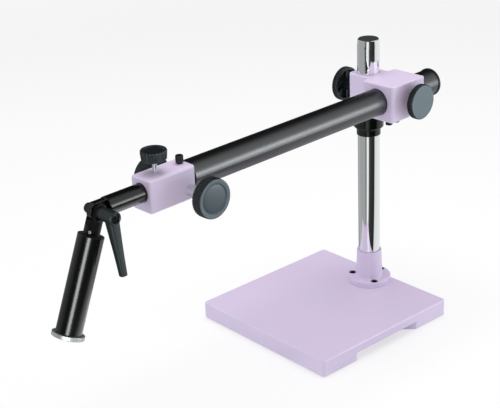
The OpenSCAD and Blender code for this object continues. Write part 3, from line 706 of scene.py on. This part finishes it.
def make_boom():
    finish_cad("boom_tube", BOOM_GREY)
    low, high = span("boom_end_cap", BOOM)
    rear = low.z + 3.4
    profile = rounded([(0, low.z, 0), (high.x, low.z, 1.6), (high.x, rear, 0.9), (15.4, rear, 0),
                       (15.4, high.z, 1.5), (0, high.z, 0)], 5)
    show(solid(lathe(profile, 96)), "rear_plug", BOOM, "boom", "black_plastic", PLASTIC, "boom_end_cap")
    finish_cad("spigot_screw", OXIDE)


def make_drive_head():
    low, high = span("drive_head", BOOM)
    front = high.z
    outline = rounded(rectangle(low.x, low.y, high.x, high.y, 3.4), 6)
    behind, bush_hole, screw_hole, spigot_r = 0.15, 6.05, 3.1, 15.4
    head = soften(solid(prism(outline, behind, front)), 2.6, 5, 38)
    bore = span("extension_rod", BOOM)[1].x + 0.05
    cut(head, solid(rod(bore, -5, front + 5, 96)))
    soften(head, 0.8, 3, 45)
    pinion = BOOM.inverted() @ joint_point("pinion_turn")
    lock = BOOM.inverted() @ joint_point("rod_lock_turn")
    upright = Matrix.Rotation(-math.pi / 2, 4, "X")
    gear_low, gear_high = span("pinion_gear", PINION_RIGHT)
    pocket = rod(gear_high.y + 0.6, gear_low.z - 1.5, gear_high.z + 1.5, 64)
    cut(head,
        solid(pocket, moved(0, pinion.y, pinion.z) @ along_x()),
        solid(rod(bush_hole, -40, 40, 48), moved(0, pinion.y, pinion.z) @ along_x()),
        solid(rod(screw_hole, bore - 2, 40, 32), moved(0, 0, lock.z) @ upright),
        solid(rod(screw_hole, bore - 2, 40, 32), moved(0, 0, pinion.z) @ upright))
    spigot = solid(lathe([(bore, low.z), (spigot_r, low.z), (spigot_r, 2 * behind), (bore, 2 * behind)], 96))
    head = group([head, spigot])
    show(head, "drive_casting", BOOM, "head", "lilac_paint", PAINT, "drive_head")

    for node, matrix in (("bush_right", PINION_RIGHT), ("bush_left", PINION_LEFT)):
        low, high = span(node, matrix)
        flange_t, bush_bore, bush_r, flange_r = 28.5, 4.05, 6, 8
        face = high.z - flange_t
        profile = rounded([(bush_bore, low.z, 0), (bush_r, low.z, 0.3), (bush_r, face, 0),
                           (flange_r, face, 0.4), (flange_r, high.z - 0.1, 0.8), (bush_bore, high.z, 0.3)], 4)
        show(solid(lathe(profile, 96)), node + "_turned", matrix, "head", "bright_steel", SATIN_STEEL, node)

    low, high = span("tension_screw", TENSION)
    head_h = 10
    head_low = high.z - head_h
    screw = cap_screw(3, head_low - low.z, 5, head_h, 44)
    screw.data.transform(moved(0, 0, head_low))
    show(screw, "tension_cap_screw", TENSION, "tension", "black_oxide", OXIDE, "tension_screw")


def make_rod_lock():
    low, high = span("rod_lock_knob", ROD_LOCK)
    r, z0, z1 = high.x, low.z, high.z
    profile = rounded([(0, z0, 0), (r - 3.4, z0, 0.6), (r - 0.9, z0 + 2.2, 1.6), (r, z1 - 2.2, 1.0),
                       (r - 0.9, z1 - 0.2, 0.8), (r - 3.0, z1, 0.6), (r - 4.6, z1 - 1.7, 1.2),
                       (0, z1 - 2.0, 0)], 5)
    knob = solid(lathe(profile, 264, fluted(22, 1.1, r - 2.2, z0 + 1.2, z1 - 1.2)))
    show(knob, "rod_lock_cap", ROD_LOCK, "rod_lock", "black_plastic", PLASTIC, "rod_lock_knob")
    finish_cad("rod_lock_screw", ZINC)


DRIVE_RING = 6.2      # width of the flat ring round a drive knob's face, out to its rim


def drive_knob(r, t):
    """Knob with a fluted rim, a flat ring, a groove and a domed middle; back at 0, face at t."""
    groove = r - DRIVE_RING
    dome = [(groove - 1.0 - (groove - 1.0) * (1 - math.cos(math.radians(a))),
             t - 1.7 + 1.7 * math.sin(math.radians(a))) for a in range(15, 90, 15)]
    side = [(0, 0, 0), (r - 1.6, 0, 0.8), (r, 1.6, 0.6), (r, t - 2.4, 0.6), (r - 0.7, t - 0.5, 0.8),
            (r - 1.8, t, 0.6), (groove + 0.6, t - 0.2, 0.5), (groove, t - 1.7, 0.3),
            (groove - 0.7, t - 1.8, 0.2)]
    profile = [*rounded(side, 4), *dome, (0, t)]
    return solid(lathe(profile, 320, fluted(40, 1.0, r - 0.8, 1.0, t - 0.9)))


def make_pinion():
    for name, node, matrix in (("drive_knob_right_cap", "drive_knob_right", PINION_RIGHT),
                               ("drive_knob_left_cap", "drive_knob_left", PINION_LEFT)):
        low, high = span(node, matrix)
        knob = drive_knob(high.y, high.z - low.z)
        knob.data.transform(moved(0, 0, low.z))
        show(knob, name, matrix, "pinion", "black_plastic", PLASTIC, node)
        # Painted sheen on the face's flat ring, and a dimmer painted sheen on its dome.
        sheen_face(knob, matrix, 3, high.y - 1.0, SHEEN_SLATE)
        sheen_face(knob, matrix, 3, high.y - DRIVE_RING, DIM_SHEEN_SLATE)
    finish_cad("pinion_shaft", STEEL)
    finish_cad("pinion_gear", BRASS)
    finish_cad("drive_knob_screws", OXIDE)


# ------------------------------------------------------------------ extension rod

def make_rod():
    low, high = span("extension_rod", BOOM)
    pivot = BOOM.inverted() @ joint_point("post_tilt")
    r = high.x
    shoulder = pivot.z - 12.5
    profile = rounded([(0, low.z, 0), (r, low.z, 0.8), (r, shoulder, 1.2), (0, shoulder, 0)], 4)
    bar = solid(lathe(profile, 128))
    rack_low, rack_high = span("rod_rack", BOOM)
    flat = solid(prism(rectangle_points(-r, -r - 1, r, -8), low.z - 1, rack_high.z + 3))
    slot_half, tongue_half = 4.02, 4.2
    slot_outline = rectangle_points(-slot_half, -r, slot_half, rack_high.y)
    slot = solid(prism(slot_outline, low.z - 1, rack_high.z + 0.2))
    cut(bar, flat, slot)
    tongue_r = high.z - pivot.z
    arc = [(pivot.z + tongue_r * math.sin(math.radians(a)), pivot.y + tongue_r * math.cos(math.radians(a)))
           for a in range(0, 181, 10)]
    outline = [(shoulder - 1, pivot.y + tongue_r), *arc, (shoulder - 1, pivot.y - tongue_r)]
    tongue = solid(prism(outline, -tongue_half, tongue_half), Matrix.Rotation(-math.pi / 2, 4, "Y"))
    tongue = soften(tongue, 0.6, 3)
    bar = fuse(bar, tongue)
    cut(bar, solid(rod(4.05, -15, 15, 48), moved(0, pivot.y, pivot.z) @ along_x()))
    show(bar, "rod_with_tongue", BOOM, "rod", "black_metal", BLACK_METAL, "extension_rod")
    finish_cad("rod_rack", STEEL)
    finish_cad("rack_screws", OXIDE)


# ------------------------------------------------------------------ drop post and lever

def make_post():
    low, high = span("post_fork", POST)
    stub_r, start, flange_r = 10, 28, 16
    stub = solid(rod(stub_r, -start - 1, stub_r, 96))
    tombstone = solid(rod(stub_r, -20, 20, 96), along_x())
    tombstone = fuse(tombstone, solid(prism(rectangle_points(-20, -20, 20, 20), -start - 2, 0)))
    combine(stub, [tombstone], "INTERSECT")
    slot = solid(prism(rectangle_points(-4.5, -20, 4.5, 20), -17, 20))
    flats = [solid(prism(rectangle_points(min(8 * s, 20 * s), -20, max(8 * s, 20 * s), 20), -11.5, 20))
             for s in (1, -1)]
    cut(stub, slot, *flats)
    soften(stub, 0.6, 3, 38)
    screw_turn, screw_depth = math.radians(37), 24.6
    lying = moved(0, -stub_r, -screw_depth) @ Matrix.Rotation(math.pi / 2, 4, "X")
    screw_at = Matrix.Rotation(screw_turn, 4, "Z") @ lying
    cut(stub, solid(rod(4.05, -20, 20, 48), along_x()), solid(rod(2.1, -6, 4, 32), screw_at))
    cap = lathe(rounded([(stub_r - 2, -start - 2, 0), (flange_r, -start - 2, 0), (flange_r, -start, 0.9),
                         (stub_r - 2, -start, 0)], 4), 96)
    plug_r = 11.4
    plug = rod(plug_r, low.z, -start - 1.9)
    fork = group([stub, solid(cap), solid(plug)])
    show(fork, "fork_and_cap", POST, "post", "black_metal", FORK_BLACK, "post_fork")

    screw = grub_screw(2, 5.5)
    screw.data.transform(screw_at @ moved(0, 0, 0.6))
    show(screw, "stub_screw", POST, "post", "bright_steel", DULL_STEEL, "fork_screw")

    low, high = span("drop_post", POST)
    post_r, bore, screw_bore, end_t = 16, 11.5, 4.1, 14
    profile = rounded([(screw_bore, low.z, 0), (post_r, low.z, 0.8), (post_r, high.z, 0.0),
                       (bore, high.z, 0), (bore, low.z + end_t, 0), (screw_bore, low.z + end_t, 0)], 4)
    show(solid(lathe(profile, 128)), "post_sleeve", POST, "post", "black_metal", BLACK_METAL, "drop_post")

    low, high = span("pivot_bolt", PIVOT)
    head, bolt_r, head_r, skirt = -10, 4, 6.5, 4.6
    dome = [(head_r * math.cos(math.radians(a)),
             head - skirt + (low.z - head + skirt) * math.sin(math.radians(a))) for a in range(0, 91, 10)]
    profile = [(0, high.z), (bolt_r - 0.6, high.z), (bolt_r, high.z - 0.6), (bolt_r, head),
               (head_r - 0.4, head), (head_r, head - 0.4), *dome]
    show(solid(lathe(profile, 96)), "pivot_bolt_turned", PIVOT, "post", "black_oxide", OXIDE, "pivot_bolt")

    washers = []
    for s in (1, -1):
        ring = lathe(rounded([(4.2, 8.1, 0.1), (7.4, 8.1, 0.2), (7.4, 9.8, 0.4), (4.2, 9.8, 0.2)], 3), 64)
        washers.append(solid(ring, Matrix.Scale(s, 4, UP)))
    show(group(washers), "washer_pair", PIVOT, "post", "black_oxide", OXIDE, "pivot_washers")


def make_disc():
    low, high = span("retaining_disc", POST)
    disc_r, screw_bore, well_r, well_depth = 20, 4.3, 7, 4
    disc = lathe(rounded([(well_r, low.z, 0.3), (disc_r, low.z, 0.8), (disc_r, high.z, 0.6),
                          (screw_bore, high.z, 0.2), (screw_bore, low.z + well_depth, 0),
                          (well_r, low.z + well_depth, 0)], 4), 128)
    show(solid(disc), "end_disc", POST, "disc", "bright_steel", SATIN_STEEL, "retaining_disc")
    screw = cap_screw(4, 13, 6.6, 3.8)
    screw.data.transform(moved(0, 0, low.z + well_depth) @ Matrix.Rotation(math.pi, 4, "X"))
    show(screw, "end_screw", POST, "disc", "black_oxide", OXIDE, "disc_screw")


# share of the way from the lever's root to its tip, half width, half thickness
ARM_SECTIONS = ((0, 7.4, 6.8), (0.06, 7.3, 6.6), (0.3, 6.5, 5.6), (0.6, 5.4, 4.7), (0.9, 4.6, 4.2),
                (0.98, 4.5, 4.1), (0.994, 4.25, 3.85), (1.0, 3.7, 3.3))


def lever_section(centre, half_w, half_t, direction, steps=32, power=0.56):
    """Ring of points of a rounded-rectangle section, square to a direction; power 1 is an ellipse."""
    across = NORTH
    out = across.cross(direction).normalized()
    ring = []
    for i in range(steps):
        a = 2 * math.pi * i / steps
        c, s = math.cos(a), math.sin(a)
        ring.append(centre + across * half_w * math.copysign(abs(c) ** power, c)
                    + out * half_t * math.copysign(abs(s) ** power, s))
    return ring


def make_lever():
    low, high = span("clamp_lever", LEVER)
    start, end, hub_r = low.x, 36, 8.4
    core_bore, well_r, screw_bore = 5.75, 5.7, 2.4
    web_start, web_end = 21.5, 23
    profile = rounded([(core_bore, start, 0.2), (hub_r - 0.2, start, 0.5), (hub_r, end - 1.5, 0.6),
                       (hub_r - 1.2, end, 0.6), (6.6, end, 0.4), (well_r, end - 1.0, 0.3),
                       (well_r, web_end, 0.3), (screw_bore, web_end, 0), (screw_bore, web_start, 0),
                       (core_bore, web_start, 0)], 4)
    hub = solid(lathe(profile, 96), along_x())
    root = Vector((28, 0, -4))
    tip = Vector((37, 2.5, low.z + 0.8))
    direction = (tip - root).normalized()
    bm = bmesh.new()
    rings = []
    for share, half_w, half_t in ARM_SECTIONS:
        section = lever_section(root + (tip - root) * share, half_w, half_t, direction)
        rings.append([bm.verts.new(p) for p in section])
    for a, b in zip(rings, rings[1:]):
        join_rows(bm, a, b)
    bm.faces.new(rings[0])
    bm.faces.new(rings[-1])
    arm = solid(bm)
    well = solid(rod(well_r + 0.1, start - 1, end + 2, 64), along_x())
    arm = cut(arm, well)
    lever = fuse(hub, arm)
    show(lever, "lever_handle", LEVER, "lever", "black_plastic", PLASTIC, "clamp_lever")
    finish_cad("lever_insert", OXIDE)
    finish_cad("lever_spring", STEEL)

    low, high = span("lever_screw", LEVER)
    head_h = 3.4
    screw = cap_screw(2.2, high.x - head_h - low.x, 5, head_h)
    screw.data.transform(moved(high.x - head_h, 0, 0) @ along_x())
    show(screw, "hub_screw", LEVER, "lever_core", "black_oxide", OXIDE, "lever_screw")


# ------------------------------------------------------------------ studio

def azimuth_of(nodes, links, vector):
    """Azimuth of a vector round the column, in turns from 0 to 1, 0.5 being +X."""
    parts = nodes.new("ShaderNodeSeparateXYZ")
    links.new(vector, parts.inputs[0])
    angle = nodes.new("ShaderNodeMath")
    angle.operation = "ARCTAN2"
    links.new(parts.outputs["Y"], angle.inputs[0])
    links.new(parts.outputs["X"], angle.inputs[1])
    turns = nodes.new("ShaderNodeMapRange")
    links.new(angle.outputs["Value"], turns.inputs["Value"])
    turns.inputs["From Min"].default_value = -math.pi
    turns.inputs["From Max"].default_value = math.pi
    return turns.outputs["Result"]


def room_as_mirrored(nodes, links, vector, screens):
    """What polished parts see: pale screens with dark gaps between them, all round the stand."""
    ramp = nodes.new("ShaderNodeValToRGB")
    links.new(azimuth_of(nodes, links, vector), ramp.inputs["Fac"])
    elements = ramp.color_ramp.elements
    for _ in range(len(screens) - len(elements)):
        elements.new(0.5)
    for element, (azimuth, level) in zip(elements, screens):
        element.position = (azimuth + 180) / 360
        element.color = (level * 0.98, level, level, 1)
    return ramp.outputs["Color"]


# azimuth in degrees from +X towards +Y, and how bright the floor or the wall is there
WALLS = ((-180, 0.50), (-150, 0.55), (-118, 0.40), (-100, 0.12), (-85, 0.04), (5, 0.04), (30, 1.0),
         (62, 1.0), (82, 0.5), (105, 0.10), (118, 0.02), (165, 0.02), (180, 0.50))
FLOOR = ((-180, 0.48), (-158, 0.38), (-80, 0.38), (-75, 0.04), (-68, 0.05), (-63, 0.95), (-42, 0.90),
         (-36, 0.10), (-20, 0.04), (22, 0.02), (29, 0.78), (75, 0.88), (120, 0.80), (128, 0.20),
         (150, 0.30), (180, 0.48))


def choose(nodes, links, factor, when_no, when_yes):
    """Mixes two shaders by a factor that is 0 or 1, or between them where it fades."""
    node = nodes.new("ShaderNodeMixShader")
    links.new(factor, node.inputs[0])
    links.new(when_no, node.inputs[1])
    links.new(when_yes, node.inputs[2])
    return node.outputs["Shader"]


def make_floor():
    """Pale floor that fades into the white room; polished parts see the room's screens in it."""
    size, solid_r, faded_r = 6, 1.4, 3.5
    bm = bmesh.new()
    bmesh.ops.create_grid(bm, x_segments=1, y_segments=1, size=size)
    floor = solid(bm)
    floor.name = "floor"
    s = Shader("floor", (0.93, 0.93, 0.93), 0.9, Specular_IOR_Level=0.0)
    s.mix(s.spread(s.noise(400, 2), 0.0, 0.3), (0.95, 0.95, 0.95, 1))
    path = s.add("ShaderNodeLightPath")
    mirrored = s.add("ShaderNodeEmission", Color=room_as_mirrored(s.nodes, s.links, s.position, FLOOR))
    clear = s.add("ShaderNodeBsdfTransparent")
    length = s.nodes.new("ShaderNodeVectorMath")
    length.operation = "LENGTH"
    s.links.new(s.position, length.inputs[0])
    fade = s.add("ShaderNodeMapRange", Value=length.outputs["Value"], From_Min=solid_r, From_Max=faded_r)
    fade.interpolation_type = "SMOOTHSTEP"
    glow = s.add("ShaderNodeEmission", Color=(1, 1, 1, 1))
    lifted = s.nodes.new("ShaderNodeMixShader")
    lifted.inputs[0].default_value = 0.6
    s.links.new(s.bsdf.outputs["BSDF"], lifted.inputs[1])
    s.links.new(glow.outputs["Emission"], lifted.inputs[2])
    matt = s.bsdf.outputs["BSDF"]
    lit = choose(s.nodes, s.links, path.outputs["Is Camera Ray"], matt, lifted.outputs["Shader"])
    faded = choose(s.nodes, s.links, fade.outputs["Result"], lit, clear.outputs["BSDF"])
    seen = choose(s.nodes, s.links, path.outputs["Is Glossy Ray"], faded, mirrored.outputs["Emission"])
    s.links.new(seen, s.nodes["Material Output"].inputs["Surface"])
    floor.data.materials.append(s.material)


def area_light(name, position, target, size, power, colour, matt=True, gloss=True):
    data = bpy.data.lights.new(name, "AREA")
    data.shape = "RECTANGLE"
    data.size, data.size_y = size
    data.energy = power
    data.color = colour
    light = bpy.data.objects.new(name, data)
    light.location = position
    light.rotation_euler = (Vector(target) - Vector(position)).to_track_quat("-Z", "Y").to_euler()
    light.visible_camera = False
    light.visible_diffuse = matt
    light.visible_glossy = gloss
    bpy.context.scene.collection.objects.link(light)
    return light


def make_world():
    """White to the eye, even light for dull surfaces, dim above and banded low for glossy ones."""
    world = bpy.data.worlds.new("studio")
    world.use_nodes = True
    bpy.context.scene.world = world
    nodes, links = world.node_tree.nodes, world.node_tree.links
    path = nodes.new("ShaderNodeLightPath")

    def even(level):
        node = nodes.new("ShaderNodeBackground")
        node.inputs["Color"].default_value = (1, 1, 1, 1)
        node.inputs["Strength"].default_value = level
        return node

    mirrored = even(1.0)
    direction = nodes.new("ShaderNodeTexCoord").outputs["Generated"]
    links.new(room_as_mirrored(nodes, links, direction, WALLS), mirrored.inputs["Color"])
    unlit = choose(nodes, links, path.outputs["Is Glossy Ray"], even(0.66).outputs[0], mirrored.outputs[0])
    seen = choose(nodes, links, path.outputs["Is Camera Ray"], unlit, even(1.0).outputs[0])
    links.new(seen, nodes["World Output"].inputs["Surface"])


WARM = (1.0, 0.955, 0.985)
COOL = (0.88, 1.04, 1.16)
NEUTRAL = (0.98, 1.0, 1.01)


def light_only(light, pieces):
    """Lets a light reach only some pieces."""
    receivers = bpy.data.collections.new(light.name + "_receivers")
    for piece in pieces:
        receivers.objects.link(piece)
    light.light_linking.receiver_collection = receivers


def make_lights():
    """Softboxes: some light only dull surfaces, some are only seen mirrored in glossy ones."""
    right, right_aim = (1.75, 1.15, 0.42), (0.05, -0.1, 0.3)
    area_light("top_soft", (0.0, 0.05, 1.75), (0.0, 0.0, 0.1), (1.2, 1.2), 13.5, WARM, gloss=False)
    area_light("left_soft", (-1.8, -1.6, 1.0), (0.0, -0.2, 0.2), (1.2, 1.2), 7.0, COOL, gloss=False)
    area_light("right_soft", right, right_aim, (1.3, 0.9), 8.2, COOL, gloss=False)
    area_light("front_low", (-0.7, -1.8, 0.15), (0.0, -0.1, 0.3), (1.2, 0.25), 2.6, COOL, gloss=False)
    sheen = area_light("right_sheen", (1.70, 1.10, 0.38), right_aim, (1.3, 0.75), 17, NEUTRAL, matt=False)
    strip_aim, bounce_at = (0.07, -0.48, 0.2), (0.20, -0.22, 0.004)
    strip = area_light("front_strip", (1.70, -2.23, 0.55), strip_aim, (0.95, 1.0), 36, NEUTRAL, matt=False)
    for light, missed in ((sheen, ("chromed_tube",)), (strip, ("chromed_tube", "fork_and_cap"))):
        light_only(light, [o for o in bpy.data.objects if o.type == "MESH" and o.name not in missed])
    bounce = area_light("table_bounce", bounce_at, (0.20, -0.22, 1), (0.6, 0.55), 1.3, NEUTRAL, matt=False)
    tubes = [bpy.data.objects[name] for name in ("rod_with_tongue", "post_sleeve")]
    light_only(bounce, [frame["nodes"]["boom_tube"], *tubes])


def make_camera():
    """Stands where the object is seen from its front right, a little from above."""
    azimuth, elevation, roll = math.radians(49.08), math.radians(23.25), math.radians(-2.575)
    distance, aim = 1.8129, Vector((-0.06452, -0.08112, 0.18983))
    back = Vector((math.sin(azimuth) * math.cos(elevation), -math.cos(azimuth) * math.cos(elevation),
                   math.sin(elevation)))
    right = (-back).cross(UP).normalized()
    above = right.cross(-back)
    right, above = (math.cos(roll) * right + math.sin(roll) * above,
                    -math.sin(roll) * right + math.cos(roll) * above)
    data = bpy.data.cameras.new("camera")
    data.lens, data.sensor_width = 90.76, 36
    camera = bpy.data.objects.new("camera", data)
    turn = Matrix((right, above, back)).transposed().to_4x4()
    camera.matrix_world = Matrix.Translation(aim + back * distance) @ turn
    bpy.context.scene.collection.objects.link(camera)
    bpy.context.scene.camera = camera


make_camera()
make_base()
make_column()
finish_cad("column_foot_plug", STEEL)
finish_cad("column_bolt", OXIDE)
make_collar()
make_clamp_block()
make_clamp_knobs()
make_boom()
make_drive_head()
make_rod_lock()
make_pinion()
make_rod()
make_post()
make_disc()
make_lever()
make_floor()
make_world()
make_lights()
bpy.context.scene.view_settings.view_transform = "Standard"
